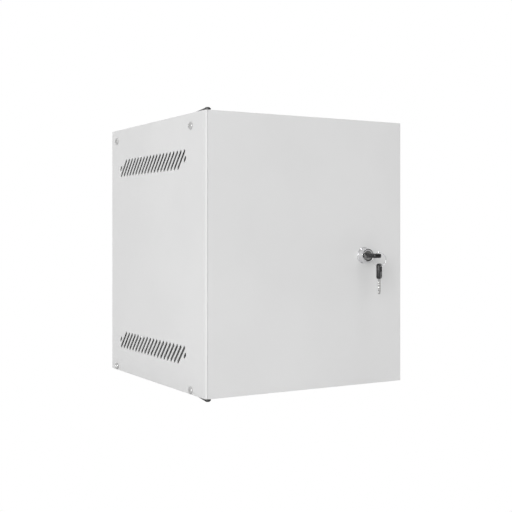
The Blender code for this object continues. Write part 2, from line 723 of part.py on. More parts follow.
def key_meshes():
    """A key's blade and bow, flat in XY with its tip towards +Y. y = 0 is where the bow meets the blade."""
    blade = bmesh.new()
    half_x = BLADE[0] / 2
    half_z = BLADE[1] / 2
    verts = add_box(blade, (-half_x, -BLADE_IN_BOW, -half_z), (half_x, BLADE_LENGTH, half_z))
    tip = [vert for vert in verts if vert.co.y > 0]
    bmesh.ops.scale(blade, vec=(0.55, 1, 1), verts=tip, space=Matrix.Translation((0, -BLADE_LENGTH, 0)))
    blade_mesh = as_mesh(blade, "key_blade")

    bow = bmesh.new()
    half_z = BOW_THICKNESS / 2
    add_box(bow, (-BOW_HALF_WIDTH, -BOW_LENGTH, -half_z), (BOW_HALF_WIDTH, 0, half_z))
    uprights = [edge for edge in bow.edges if abs((edge.verts[0].co - edge.verts[1].co).z) > half_z]
    bmesh.ops.bevel(bow, geom=uprights, offset=0.003, segments=3, profile=0.5, affect="EDGES")
    flats = [
        edge
        for edge in bow.edges
        if abs((edge.verts[0].co - edge.verts[1].co).z) < 1e-6 and edge.calc_face_angle() > 0.5
    ]
    bmesh.ops.bevel(bow, geom=flats, offset=0.0006, segments=1, profile=0.5, affect="EDGES")
    bow_mesh = as_mesh(bow, "key_bow", smooth=True)
    return blade_mesh, bow_mesh


def bow_cutter():
    """The window for the ring, and the pocket that holds the blade."""
    bm = bmesh.new()
    half_x = BOW_HALF_WIDTH - BOW_RIM
    far = -BOW_LENGTH + BOW_RIM
    add_box(bm, (-half_x, far, -0.01), (half_x, far + WINDOW_LENGTH, 0.01))
    pocket_x = BLADE[0] / 2 + GAP
    pocket_z = BLADE[1] / 2 + GAP
    add_box(bm, (-pocket_x, -BLADE_IN_BOW - GAP, -pocket_z), (pocket_x, 0.005, pocket_z))
    return as_mesh(bm, "bow_cutter")


def build_key(prefix, meshes, matrix, pivot):
    """One key, placed by its matrix relative to its pivot."""
    blade_mesh, bow_mesh, cutter_mesh = meshes
    part(f"{prefix}_blade", blade_mesh, NICKEL, pivot, matrix)
    bow = part(f"{prefix}_bow", bow_mesh, BLACK_PLASTIC, pivot, matrix)
    cutter = bpy.data.objects.new(f"{prefix}_bow_cut", cutter_mesh)
    cutters.objects.link(cutter)
    cutter.display_type = "WIRE"
    cutter.hide_render = True
    cutter.parent = pivot
    cutter.matrix_local = matrix
    modifier = bow.modifiers.new("Window", "BOOLEAN")
    modifier.object = cutter


def build_keys(key, ring_pivot, spare):
    """The key in the lock, the ring that hangs from its bow, and the spare key on the ring."""
    meshes = (*key_meshes(), bow_cutter())
    shoulder = FRONT - LOCK_HEAD - BOW_CLEAR
    place = Vector((LOCK_X, shoulder, LOCK_Z)) - world_place(key)
    build_key("key", meshes, Matrix.Translation(place), key)

    bpy.ops.mesh.primitive_torus_add(
        major_segments=28,
        minor_segments=8,
        major_radius=RING_RADIUS,
        minor_radius=RING_WIRE,
        rotation=(math.pi / 2, 0, RING_YAW),
    )
    ring = bpy.context.object
    ring.name = "key_ring"
    for collection in list(ring.users_collection):
        collection.objects.unlink(ring)
    parts.objects.link(ring)
    ring.data.materials.append(finish_material("key_ring", CHROME))
    ring.data.shade_smooth()
    ring.parent = ring_pivot
    ring.location = (0, 0, RING_RISE - RING_RADIUS)

    turn = Matrix.Rotation(SPARE_YAW, 4, "Z") @ Matrix.Rotation(math.pi / 2, 4, "Y")
    turn = turn @ Matrix.Rotation(-math.pi / 2, 4, "Z")
    down = Matrix((turn.col[0][:3], turn.col[1][:3], turn.col[2][:3])).transposed().to_4x4()
    drop = BOW_LENGTH - BOW_RIM - SPARE_DROP
    build_key("spare_key", meshes, Matrix.Translation((0, 0, -drop)) @ down, spare)


def build_cabinet():
    build_side_panel(-1, "left_side_panel")
    build_side_panel(1, "right_side_panel")
    build_horizontal_panel("top_panel", 1)
    build_horizontal_panel("bottom_panel", -1)
    build_rear_panel()
    build_cable_cover("top_cable_cover", 1)
    build_cable_cover("bottom_cable_cover", -1)
    build_rail(-1, "left_rail")
    build_rail(1, "right_rail")
    build_screws()
    build_buffers()
    build_earth_point("body", (-0.120, -0.120, BASE + SHEET + GAP), (0, 0, 1))

    door = pivot_empty("door_axis", (*PIVOT, 0))
    lock_face = (LOCK_X, FRONT - LOCK_HEAD, LOCK_Z)
    plug = pivot_empty("lock_axis", lock_face, door)
    key = pivot_empty("key_axis", lock_face, plug)
    bar = (LOCK_X + BOW_HALF_WIDTH - BOW_RIM / 2, FRONT - 0.0273, LOCK_Z)
    ring_pivot = pivot_empty("ring_axis", bar, key)
    ring_bottom = Vector(bar) + Vector((0, 0, RING_RISE - 2 * RING_RADIUS))
    spare = pivot_empty("spare_key_axis", ring_bottom, ring_pivot)
    build_door(door)
    build_hinge("upper", 1, door)
    build_hinge("lower", -1, door)
    build_earth_point("door", (-0.110, FRONT + SHEET + GAP, -0.140), (0, 1, 0), door)
    build_lock(door, plug)
    build_keys(key, ring_pivot, spare)


build_cabinet()
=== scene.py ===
"""The looks of the network cabinet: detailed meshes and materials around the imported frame.

The front faces -Y, +X is to the right and +Z is up, in metres. Every place comes from the frame.
"""

import json
import math

import bmesh
import bpy
from mathutils import Matrix, Vector

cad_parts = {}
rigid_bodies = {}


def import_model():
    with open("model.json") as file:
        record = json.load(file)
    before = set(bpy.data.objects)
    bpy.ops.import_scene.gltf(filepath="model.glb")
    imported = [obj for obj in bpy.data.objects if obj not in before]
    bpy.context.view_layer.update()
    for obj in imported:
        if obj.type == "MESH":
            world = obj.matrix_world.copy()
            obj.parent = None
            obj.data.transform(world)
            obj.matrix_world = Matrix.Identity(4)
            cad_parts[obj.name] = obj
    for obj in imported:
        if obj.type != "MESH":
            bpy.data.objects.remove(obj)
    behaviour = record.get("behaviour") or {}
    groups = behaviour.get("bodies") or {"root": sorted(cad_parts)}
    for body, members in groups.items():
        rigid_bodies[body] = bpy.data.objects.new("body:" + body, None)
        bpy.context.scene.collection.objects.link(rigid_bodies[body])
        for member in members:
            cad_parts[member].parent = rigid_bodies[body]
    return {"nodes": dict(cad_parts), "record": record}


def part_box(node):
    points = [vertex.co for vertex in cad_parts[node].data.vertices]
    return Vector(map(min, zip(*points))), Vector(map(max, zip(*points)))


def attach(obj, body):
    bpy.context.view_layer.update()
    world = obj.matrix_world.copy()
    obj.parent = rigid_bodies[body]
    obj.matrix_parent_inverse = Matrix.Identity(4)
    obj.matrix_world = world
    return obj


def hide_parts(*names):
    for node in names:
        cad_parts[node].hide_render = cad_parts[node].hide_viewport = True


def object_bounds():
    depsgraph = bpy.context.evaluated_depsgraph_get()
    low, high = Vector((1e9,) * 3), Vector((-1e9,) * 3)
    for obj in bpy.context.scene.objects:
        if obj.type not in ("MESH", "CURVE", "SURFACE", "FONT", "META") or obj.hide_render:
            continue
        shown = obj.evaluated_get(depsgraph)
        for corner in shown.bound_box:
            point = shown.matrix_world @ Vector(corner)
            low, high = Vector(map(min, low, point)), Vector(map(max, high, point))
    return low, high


for old in list(bpy.data.objects):
    bpy.data.objects.remove(old)

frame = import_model()
CAD_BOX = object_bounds()
NODES = frame["nodes"]
RECORD = frame["record"]
SLOT_OF = {row["node"]: row["material_slot"] for row in RECORD["subparts"]}
BODY_OF = {node: body for body, nodes in RECORD["behaviour"]["bodies"].items() for node in nodes}

# Camera: level, 30 degrees to the left of the front, with the horizon above the picture's middle
FOCAL_LENGTH = 66.63
SENSOR = 36.0
CAMERA_AZIMUTH = math.radians(-30.07)
CAMERA_FROM_CORNER = Vector((-0.525, -1.028))
CAMERA_HEIGHT = 0.207
HORIZON_SHIFT = -0.051

# Studio: even light, and a dark card to the right of the camera that bright metal mirrors
AMBIENT = 0.68
CARD_DIRECTION = (0.60, -0.80, -0.03)
CARD_EDGES = (0.87, 0.92)
CARD_SHADE = 0.03
FLOOR_HALF = 6.0
FLOOR_DROP = 0.0005
LIGHT_TARGET = Vector((0, -0.15, 0))

# Softboxes: place, size and power in watts
SOFTBOXES = {
    "left_softbox": ((-3.35, -3.15, 1.00), (1.6, 2.1), 93),
    "high_softbox": ((0.1, -0.6, 2.4), (0.5, 0.5), 14),
}

# Sheet metal
SHEET = 0.0012
GAP = 0.0003
SOFT_EDGE = 0.00022
CRISP_ANGLE = math.radians(32)
CUT_OVERRUN = 0.004
FOLD_SEGMENTS = 6

# Door skin: a rounded left edge with a narrow seam beside it, and small bends elsewhere
DOOR_EDGE_WIDTH = 0.0018
DOOR_EDGE_DEPTH = 0.0042
SEAM_WIDTH = 0.0006
SEAM_DEPTH = 0.00095
DOOR_BEND = 0.0014
DOOR_TIGHT_BEND = 0.0004
DOOR_END_ROUND = 0.0007
DOOR_EDGE_STEPS = 12
DOOR_BEND_STEPS = 6

# Folded lip inside the door's free edge
LIP = 0.012
LIP_END_GAP = 0.006
LIP_SETBACK = 0.0001

# Side panels and their vents
FLANGE = 0.020
BEND = 0.0018
SLOTS = 19
SLOT_PITCH = 0.01072
SLOT_LENGTH = 0.0330
SLOT_WIDTH = 0.0046
SHORT_SLOT = 0.0095
SLOT_LEAN = math.radians(43)
VENT_FROM_FRONT = 0.169
VENT_FROM_BASE = 0.0467
VENT_FROM_TOP = 0.0570
SLOT_CUT_DEPTH = 0.010
SLOT_END_STEPS = 6
VENT_SOFTEN_ANGLE = 50

POWDER_COLOUR = (0.70, 0.70, 0.70)

# Lock housing: radii, heights above the door's face, and the thread behind it
LOCK_HOLE = 0.0083
LOCK_BORE = 0.0063
LOCK_HEAD = 0.0092
LOCK_BARREL = 0.0080
LOCK_EDGE = 0.0003
LOCK_SKIRT = 0.0101
LOCK_SKIRT_HEIGHT = 0.0030
LOCK_RIM_HEIGHT = 0.0012
LOCK_RIM_ROUND = 0.0008
LOCK_RIM_FOOT = 0.0004
THREAD_PITCH = 0.0010
THREAD_DEPTH = 0.00045
THREAD_END = 0.0006
THREAD_CHAMFER = 0.0005

# Lock plug
PLUG = 0.0060
PLUG_ROUND = 0.0005
PLUG_TAIL = 0.0036
PLUG_CHAMFER = 0.0003
KEYWAY_HALF_WIDTH = 0.0042
KEYWAY_HALF_HEIGHT = 0.0013
KEYWAY_DEPTH = 0.0184
CAM_SCREW_HOLE = 0.0017

# Key blade, flat in XY with its tip towards +Y
BLADE_HALF = 0.0038
BLADE_TIP = 0.020
BLADE_BACK = -0.0090
BLADE_HALF_THICK = 0.0010
BLADE_SHOULDER = 0.0030
BLADE_SLOPE = (0.0006, 0.0022)
BLADE_CUTS = (0.0006, 0.0014, 0.0003, 0.0011, 0.0007)
CUT_PITCH = 0.0030
CUT_START = 0.0009
CUT_END = 0.0019
CUT_RISE = (0.0001, 0.0028)

# Key bow, with its window, grip panels and the blade's pocket
BOW_HALF = 0.0064
BOW_LENGTH = 0.0202
BOW_HALF_THICK = 0.00275
BOW_CORNER = 0.0034
BOW_ROUND = 0.0016
BOW_RIM = 0.0024
WINDOW = 0.0084
WINDOW_CORNER = 0.0009
POCKET_HALF = 0.0041
POCKET_BACK = -0.0093
POCKET_HALF_THICK = 0.0013
POCKET_FRONT = 0.005
WINDOW_CUT_HALF = 0.01
GRIP_ENDS = (-0.0078, -0.0022)
GRIP_DEPTH = 0.00035
SPARE_YAW = math.radians(-50)

# Split ring
RING_YAW = math.radians(-30)
RING_TURNS = 1.93
RING_STEPS = 96
RING_START = 0.9
RING_WIRE = 0.00036
RING_SOLID_WIRE = 0.0006

# Screws: head radius, head height, shank radius and length
SCREWS = {
    "side": (0.0047, 0.0022, 0.0015, 0.0080),
    "hinge": (0.0038, 0.0018, 0.0015, 0.0062),
    "rail": (0.0040, 0.0020, 0.0015, 0.0030),
    "rear": (0.0038, 0.0018, 0.0015, 0.0030),
    "cam": (0.0050, 0.0020, 0.0014, 0.0040),
}
DOME_STEPS = 7
SCREW_TAPER = 0.0004
RECESS_START = 0.6
RECESS_STEP = 1.1

# Nodes that keep the solid's own shape, with softened edges
FOLDED_SHEETS = ("top_panel", "bottom_panel", "rear_panel", "door_stiffener")
PUNCHED_RAILS = ("left_rail", "right_rail")
FLAT_PARTS = ("upper_hinge_strap", "lower_hinge_strap", "lock_cam", "top_cable_cover", "bottom_cable_cover")
SMALL_PARTS = ("lock_nut", "body_earth_nut", "door_earth_nut", "upper_hinge_pin", "lower_hinge_pin")
FLAT_PART_EDGE = 0.0003
SMALL_PART_EDGE = 0.00025


def place_camera():
    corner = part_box("door_panel")[0]
    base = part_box("left_side_panel")[0].z
    data = bpy.data.cameras.new("camera")
    data.lens = FOCAL_LENGTH
    data.sensor_width = SENSOR
    data.shift_y = HORIZON_SHIFT
    data.clip_start = 0.01
    camera = bpy.data.objects.new("camera", data)
    camera.location = (*(corner.xy + CAMERA_FROM_CORNER), base + CAMERA_HEIGHT)
    camera.rotation_euler = (math.pi / 2, 0, CAMERA_AZIMUTH)
    bpy.context.scene.collection.objects.link(camera)
    bpy.context.scene.camera = camera


def area_light(name, place, size, power):
    data = bpy.data.lights.new(name, "AREA")
    data.shape = "RECTANGLE"
    data.size, data.size_y = size
    data.energy = power
    lamp = bpy.data.objects.new(name, data)
    lamp.location = place
    lamp.rotation_euler = (LIGHT_TARGET - Vector(place)).to_track_quat("-Z", "Y").to_euler()
    bpy.context.scene.collection.objects.link(lamp)


def light_studio():
    """Even white surroundings with one dark card, and the softboxes."""
    world = bpy.data.worlds.new("studio")
    world.use_nodes = True
    tree = world.node_tree
    soft = tree.nodes["Background"]
    soft.inputs["Strength"].default_value = AMBIENT
    direction = tree.nodes.new("ShaderNodeTexCoord")
    towards_card = tree.nodes.new("ShaderNodeVectorMath")
    towards_card.operation = "DOT_PRODUCT"
    towards_card.inputs[1].default_value = CARD_DIRECTION
    tree.links.new(direction.outputs["Generated"], towards_card.inputs[0])
    card = ramp(tree, towards_card.outputs["Value"], (1, 1, 1), (CARD_SHADE,) * 3, *CARD_EDGES)
    tree.links.new(card, soft.inputs["Color"])
    seen = tree.nodes.new("ShaderNodeBackground")
    seen.inputs["Color"].default_value = (1, 1, 1, 1)
    mix_for_camera(tree, soft.outputs["Background"], seen.outputs["Background"], "World Output")
    bpy.context.scene.world = world
    bpy.context.scene.view_settings.view_transform = "Standard"
    for name, (place, size, power) in SOFTBOXES.items():
        area_light(name, place, size, power)


def mix_for_camera(tree, lit, seen, output):
    """Shows the second shader to the camera and the first to everything else."""
    path = tree.nodes.new("ShaderNodeLightPath")
    mix = tree.nodes.new("ShaderNodeMixShader")
    tree.links.new(path.outputs["Is Camera Ray"], mix.inputs["Fac"])
    tree.links.new(lit, mix.inputs[1])
    tree.links.new(seen, mix.inputs[2])
    tree.links.new(mix.outputs["Shader"], tree.nodes[output].inputs["Surface"])


def lay_floor():
    """A pale floor that looks evenly white to the camera, as a lit sweep of paper does."""
    bm = bmesh.new()
    bmesh.ops.create_grid(bm, x_segments=1, y_segments=1, size=FLOOR_HALF)
    mesh = bpy.data.meshes.new("studio_floor")
    bm.to_mesh(mesh)
    bm.free()
    floor = bpy.data.objects.new("studio_floor", mesh)
    floor.location.z = CAD_BOX[0].z - FLOOR_DROP
    material, tree, shader = nodes_for("pale_floor", (0.80, 0.80, 0.80), 0.9)
    glow = tree.nodes.new("ShaderNodeEmission")
    mix_for_camera(tree, shader.outputs["BSDF"], glow.outputs["Emission"], "Material Output")
    mesh.materials.append(material)
    bpy.context.scene.collection.objects.link(floor)


# Materials


def nodes_for(name, colour, roughness, metallic=0.0):
    """A new material's node tree and its Principled shader."""
    material = bpy.data.materials.new(name)
    material.use_nodes = True
    tree = material.node_tree
    shader = tree.nodes["Principled BSDF"]
    shader.inputs["Base Color"].default_value = (*colour, 1)
    shader.inputs["Roughness"].default_value = roughness
    shader.inputs["Metallic"].default_value = metallic
    return material, tree, shader


def noise(tree, scale, detail, stretch=(1, 1, 1)):
    """Noise in the object's own coordinates, in cells per metre."""
    coordinates = tree.nodes.new("ShaderNodeTexCoord")
    mapping = tree.nodes.new("ShaderNodeMapping")
    mapping.inputs["Scale"].default_value = stretch
    texture = tree.nodes.new("ShaderNodeTexNoise")
    texture.inputs["Scale"].default_value = scale
    texture.inputs["Detail"].default_value = detail
    tree.links.new(coordinates.outputs["Object"], mapping.inputs["Vector"])
    tree.links.new(mapping.outputs["Vector"], texture.inputs["Vector"])
    return texture.outputs["Fac"]


def ramp(tree, source, low, high, start=0.35, end=0.65):
    """A colour ramp from low to high."""
    node = tree.nodes.new("ShaderNodeValToRGB")
    node.color_ramp.elements[0].position = start
    node.color_ramp.elements[0].color = (*low, 1)
    node.color_ramp.elements[1].position = end
    node.color_ramp.elements[1].color = (*high, 1)
    tree.links.new(source, node.inputs["Fac"])
    return node.outputs["Color"]


def vary_roughness(tree, shader, source, low, high):
    spread = tree.nodes.new("ShaderNodeMapRange")
    spread.inputs["To Min"].default_value = low
    spread.inputs["To Max"].default_value = high
    tree.links.new(source, spread.inputs["Value"])
    tree.links.new(spread.outputs["Result"], shader.inputs["Roughness"])


def add_bump(tree, shader, source, depth, strength):
    bump = tree.nodes.new("ShaderNodeBump")
    bump.inputs["Distance"].default_value = depth
    bump.inputs["Strength"].default_value = strength
    tree.links.new(source, bump.inputs["Height"])
    tree.links.new(bump.outputs["Normal"], shader.inputs["Normal"])


def powder_coat():
    """Light grey powder coat: a fine orange peel and faint cloudiness."""
    material, tree, shader = nodes_for("powder_coat", POWDER_COLOUR, 0.45)
    cloud = noise(tree, scale=9.0, detail=2.0)
    low = tuple(value * 0.985 for value in POWDER_COLOUR)
    high = tuple(value * 1.01 for value in POWDER_COLOUR)
    tree.links.new(ramp(tree, cloud, low, high), shader.inputs["Base Color"])
    vary_roughness(tree, shader, noise(tree, scale=160.0, detail=3.0), 0.40, 0.52)
    add_bump(tree, shader, noise(tree, scale=620.0, detail=2.5), depth=0.00012, strength=0.55)
    shader.inputs["IOR"].default_value = 1.5
    return material


def plated(name, colour, low, high, grain=(1, 1, 1), depth=0.00003):
    """Plated steel: a faintly mottled reflection with fine marks."""
    material, tree, shader = nodes_for(name, colour, (low + high) / 2, 1.0)
    vary_roughness(tree, shader, noise(tree, scale=260.0, detail=4.0), low, high)
    darker = tuple(value * 0.93 for value in colour)
    mottle = noise(tree, scale=140.0, detail=3.0)
    tree.links.new(ramp(tree, mottle, darker, colour), shader.inputs["Base Color"])
    marks = noise(tree, scale=900.0, detail=2.0, stretch=grain)
    add_bump(tree, shader, marks, depth, strength=0.3)
    return material


def moulded(name, colour, roughness, scale):
    """Moulded plastic or rubber: a fine spark-eroded texture."""
    material, tree, shader = nodes_for(name, colour, roughness)
    lighter = tuple(value * 1.06 + 0.003 for value in colour)
    mottle = noise(tree, scale=300.0, detail=3.0)
    tree.links.new(ramp(tree, mottle, colour, lighter), shader.inputs["Base Color"])
    sheen = noise(tree, scale=420.0, detail=3.0)
    vary_roughness(tree, shader, sheen, roughness - 0.07, roughness + 0.07)
    add_bump(tree, shader, noise(tree, scale, detail=2.0), depth=0.00005, strength=0.6)
    return material


def make_finishes():
    return {
        "powder_coat": powder_coat(),
        "zinc": plated("zinc", (0.72, 0.72, 0.715), 0.27, 0.38),
        "dark_zinc": plated("dark_zinc", (0.10, 0.10, 0.10), 0.30, 0.48),
        "chrome": plated("chrome", (0.80, 0.80, 0.81), 0.05, 0.12, depth=0.00001),
        "nickel": plated("nickel", (0.44, 0.44, 0.435), 0.27, 0.40, grain=(1, 1, 8)),
        "black_plastic": moulded("black_plastic", (0.006, 0.006, 0.007), 0.28, scale=1500.0),
        "grey_plastic": moulded("grey_plastic", (0.50, 0.51, 0.51), 0.50, scale=1500.0),
        "rubber": moulded("rubber", (0.02, 0.02, 0.02), 0.75, scale=900.0),
    }


# Mesh helpers


def add_piece(name, mesh, node, matrix=None):
    """A piece that replaces a CAD node, rides on its body and takes its slot's finish."""
    if matrix:
        mesh = mesh.copy()
        mesh.transform(matrix)
    piece = bpy.data.objects.new(name, mesh)
    bpy.context.scene.collection.objects.link(piece)
    mesh.materials.clear()
    mesh.materials.append(FINISHES[SLOT_OF[node]])
    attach(piece, BODY_OF[node])
    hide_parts(node)
    return piece


def shade(mesh, crisp_angle=CRISP_ANGLE):
    """Smooth shading, apart from the edges sharper than an angle."""
    mesh.shade_smooth()
    mesh.set_sharp_from_angle(angle=crisp_angle)


def bm_to_mesh(bm, name):
    bmesh.ops.recalc_face_normals(bm, faces=bm.faces)
    mesh = bpy.data.meshes.new(name)
    bm.to_mesh(mesh)
    bm.free()
    shade(mesh)
    return mesh


def apply_modifiers(obj):
    """Puts the modifiers' result in the object's own mesh."""
    graph = bpy.context.evaluated_depsgraph_get()
    graph.update()
    mesh = bpy.data.meshes.new_from_object(obj.evaluated_get(graph))
    obj.modifiers.clear()
    obj.data = mesh


def soften(piece, width, angle=30):
    """Rounds the edges sharper than an angle in degrees, as paint or tumbling does."""
    bevel = piece.modifiers.new("Soft edges", "BEVEL")
    bevel.width = width
    bevel.segments = 2
    bevel.limit_method = "ANGLE"
    bevel.angle_limit = math.radians(angle)
    bevel.harden_normals = True
    bevel.use_clamp_overlap = True
    bevel.miter_outer = "MITER_ARC"
    flatten_shading(piece)


def flatten_shading(piece):
    """Lets large flat faces keep their own normals, so that no shade runs across them."""
    weighted = piece.modifiers.new("Flat faces", "WEIGHTED_NORMAL")
    weighted.keep_sharp = True


def refine_node(node, width, merge_flats=True):
    """The CAD node's own shape with softened edges. Merging leaves each flat face in one piece."""
    bm = bmesh.new()
    bm.from_mesh(NODES[node].data)
    bmesh.ops.remove_doubles(bm, verts=bm.verts, dist=2e-6)
    if merge_flats:
        bmesh.ops.dissolve_limit(bm, angle_limit=math.radians(1.0), verts=bm.verts, edges=bm.edges)
    piece = add_piece(f"fine_{node}", bm_to_mesh(bm, f"fine_{node}"), node)
    soften(piece, width)


def box_bm(low, high):
    bm = bmesh.new()
    low = Vector(low)
    high = Vector(high)
    size = Matrix.Diagonal((*(high - low), 1))
    bmesh.ops.create_cube(bm, size=1, matrix=Matrix.Translation((low + high) / 2) @ size)
    return bm


def turned(profile, steps, closed=False):
    """Turns a profile of (radius, height) round Z. An open profile starts and ends on the axis."""
    bm = bmesh.new()
    verts = [bm.verts.new((radius, 0, height)) for radius, height in profile]
    pairs = list(zip(verts, verts[1:]))
    if closed:
        pairs.append((verts[-1], verts[0]))
    for pair in pairs:
        bm.edges.new(pair)
    bmesh.ops.spin(
        bm,
        geom=bm.verts[:] + bm.edges[:],
        axis=(0, 0, 1),
        cent=(0, 0, 0),
        angle=2 * math.pi,
        steps=steps,
        use_merge=True,
    )
    bmesh.ops.remove_doubles(bm, verts=bm.verts, dist=1e-7)
    return bm


def arc(centre, radius, start, end, count):
    """Points on an arc in a turned profile, from one angle to another in degrees."""
    points = []
    for i in range(count + 1):
        angle = math.radians(start + (end - start) * i / count)
        points.append((centre[0] + radius * math.cos(angle), centre[1] + radius * math.sin(angle)))
    return points


def facing(direction):
    return Vector(direction).to_track_quat("Z", "Y").to_matrix().to_4x4()


def cylinder_bm(place, radius, depth, segments):
    """A cylinder round the place's Z axis, centred on it."""
    bm = bmesh.new()
    bmesh.ops.create_cone(
        bm,
        cap_ends=True,
        segments=segments,
        radius1=radius,
        radius2=radius,
        depth=depth,
        matrix=place,
    )
    return bm


def cut(obj, cutter_bm, operation="DIFFERENCE", crossing=False):
    """Applies one Boolean with a temporary cutter. A crossing cutter is one that runs through itself."""
    cutter = loose("cutter", bm_to_mesh(cutter_bm, "cutter"))
    modifier = obj.modifiers.new("Cut", "BOOLEAN")
    modifier.operation = operation
    modifier.object = cutter
    modifier.solver = "EXACT"
    modifier.use_self = crossing
    apply_modifiers(obj)
    bpy.data.objects.remove(cutter)


def loose(name, mesh):
    """An object to work on before it becomes a piece."""
    obj = bpy.data.objects.new(name, mesh)
    bpy.context.scene.collection.objects.link(obj)
    return obj


def taken_from(obj, name, crisp_angle=CRISP_ANGLE):
    """The mesh of a worked object, shaded and named. The object itself goes."""
    mesh = obj.data
    bpy.data.objects.remove(obj)
    mesh.name = name
    shade(mesh, crisp_angle)
    return mesh


def finish_work(obj, node, name):
    """Turns a worked object into a piece with the CAD node's body, slot and finish."""
    return add_piece(name, taken_from(obj, name), node)


def corner_edges(bm, least):
    """The edges whose height is over a value."""
    return [edge for edge in bm.edges if abs(edge.verts[0].co.z - edge.verts[1].co.z) > least]


def round_edges(bm, edges, radius, segments):
    bmesh.ops.bevel(bm, geom=edges, offset=radius, segments=segments, profile=0.5, affect="EDGES")


# Door


def door_outline(left, right, front, rear, inset):
    """The door's outline seen from above, moved inwards by the sheet's thickness for the hollow."""
    edge_width = DOOR_EDGE_WIDTH - inset * 0.2
    points = [(left + inset, rear)]
    for i in range(DOOR_EDGE_STEPS + 1):
        angle = math.pi / 2 * i / DOOR_EDGE_STEPS
        x = left + inset + edge_width * (1 - math.cos(angle))
        points.append((x, front + inset + DOOR_EDGE_DEPTH * (1 - math.sin(angle))))
    if not inset:
        x = left + edge_width
        slope = SEAM_WIDTH / 6
        points.append((x + slope, front + SEAM_DEPTH))
        points.append((x + SEAM_WIDTH - slope, front + SEAM_DEPTH))
        points.append((x + SEAM_WIDTH, front))
    bend = max(DOOR_BEND - inset, DOOR_TIGHT_BEND)
    for i in range(DOOR_BEND_STEPS + 1):
        angle = math.pi / 2 * i / DOOR_BEND_STEPS
        x = right - inset - bend + bend * math.sin(angle)
        points.append((x, front + inset + bend - bend * math.cos(angle)))
    points.append((right - inset, rear))
    return points


def prism(points, low, high):
    """A solid between two heights, from an outline seen from above."""
    bm = bmesh.new()
    face = bm.faces.new([bm.verts.new((x, y, low)) for x, y in points])
    lifted = bmesh.ops.extrude_face_region(bm, geom=[face])["geom"]
    verts = [item for item in lifted if isinstance(item, bmesh.types.BMVert)]
    bmesh.ops.translate(bm, verts=verts, vec=(0, 0, high - low))
    bmesh.ops.recalc_face_normals(bm, faces=bm.faces)
    return bm


def round_ends(bm, rear, radius):
    """Rounds the level edges of a prism, apart from those on its rear face."""
    rims = []
    for edge in bm.edges:
        start, end = (vert.co for vert in edge.verts)
        level = abs(start.z - end.z) < 1e-7
        at_rear = abs(start.y - rear) < 1e-6 and abs(end.y - rear) < 1e-6
        if level and not at_rear:
            rims.append(edge)
    bmesh.ops.bevel(
        bm, geom=rims, offset=radius, segments=4, profile=0.5, affect="EDGES", clamp_overlap=True
    )


def cut_bush_hole(door, level, shift):
    """The hole for a hinge bush, in the door's upper or lower edge."""
    low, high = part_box(f"{level}_door_bush")
    radius = (high.x - low.x) / 2 + GAP
    place = Matrix.Translation((low + high) / 2 + Vector((0, 0, shift)))
    cut(door, cylinder_bm(place, radius, depth=0.012, segments=40))


def make_door():
    low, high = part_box("door_panel")
    skin = prism(door_outline(low.x, high.x, low.y, high.y, 0), low.z, high.z)
    round_ends(skin, high.y, DOOR_END_ROUND)
    door = loose("door_work", bm_to_mesh(skin, "door_work"))
    hollow = door_outline(low.x, high.x, low.y, high.y + CUT_OVERRUN, SHEET)
    cut(door, prism(hollow, low.z + SHEET, high.z - SHEET))
    lip = box_bm(
        (high.x - LIP, high.y - SHEET - LIP_SETBACK, low.z + LIP_END_GAP),
        (high.x - SHEET / 2, high.y - LIP_SETBACK, high.z - LIP_END_GAP),
    )
    cut(door, lip, "UNION")
    centre = sum(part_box("lock_nut"), Vector()) / 2
    place = Matrix.Translation((centre.x, low.y, centre.z)) @ facing((0, 1, 0))
    cut(door, cylinder_bm(place, LOCK_HOLE, depth=0.008, segments=64))
    cut_bush_hole(door, "upper", 0.001)
    cut_bush_hole(door, "lower", -0.001)
    flatten_shading(finish_work(door, "door_panel", "door_skin"))


# Side panels


def slot_cutter(node, side):
    """Slanted slots with round ends through a side panel, with a short one at each end of a row."""
    low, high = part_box(node)
    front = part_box("door_panel")[0].y
    x = low.x if side < 0 else high.x
    bm = bmesh.new()
    lean = Matrix.Rotation(SLOT_LEAN, 4, "X")
    across = Matrix.Rotation(math.pi / 2, 4, "Y")
    for height in (low.z + VENT_FROM_BASE, high.z - VENT_FROM_TOP):
        for i in range(-1, SLOTS + 1):
            length = SLOT_LENGTH if 0 <= i < SLOTS else SHORT_SLOT
            depth = front + VENT_FROM_FRONT + (i - (SLOTS - 1) / 2) * SLOT_PITCH
            place = Matrix.Translation((x, depth, height)) @ lean
            rounded_slot(bm, place @ across, length, SLOT_WIDTH / 2)
    return bm


def rounded_slot(bm, matrix, length, radius):
    """One prism with half-round ends. Its length lies along the matrix's X axis and it runs along Z."""
    points = []
    for sign in (1, -1):
        for i in range(SLOT_END_STEPS + 1):
            angle = -math.pi / 2 + math.pi * i / SLOT_END_STEPS
            x = sign * (length / 2 - radius + radius * math.cos(angle))
            points.append((x, sign * radius * math.sin(angle)))
    rows = []
    for z in (-SLOT_CUT_DEPTH / 2, SLOT_CUT_DEPTH / 2):
        rows.append([bm.verts.new(matrix @ Vector((x, y, z))) for x, y in points])
    bm.faces.new(rows[0])
    bm.faces.new(rows[1])
    count = len(points)
    for i in range(count):
        j = (i + 1) % count
        bm.faces.new((rows[0][i], rows[0][j], rows[1][j], rows[1][i]))


def bent_sheet(points, low, high, radius):
    """A surface folded along Z, with rounded folds."""
    bm = bmesh.new()
    rows = [[bm.verts.new((x, y, z)) for x, y in points] for z in (low, high)]
    for i in range(len(points) - 1):
        bm.faces.new((rows[0][i], rows[0][i + 1], rows[1][i + 1], rows[1][i]))
    folds = [edge for edge in bm.edges if len(edge.link_faces) == 2]
    round_edges(bm, folds, radius, FOLD_SEGMENTS)
    mesh = bpy.data.meshes.new("sheet")
    bm.to_mesh(mesh)
    bm.free()
    return mesh


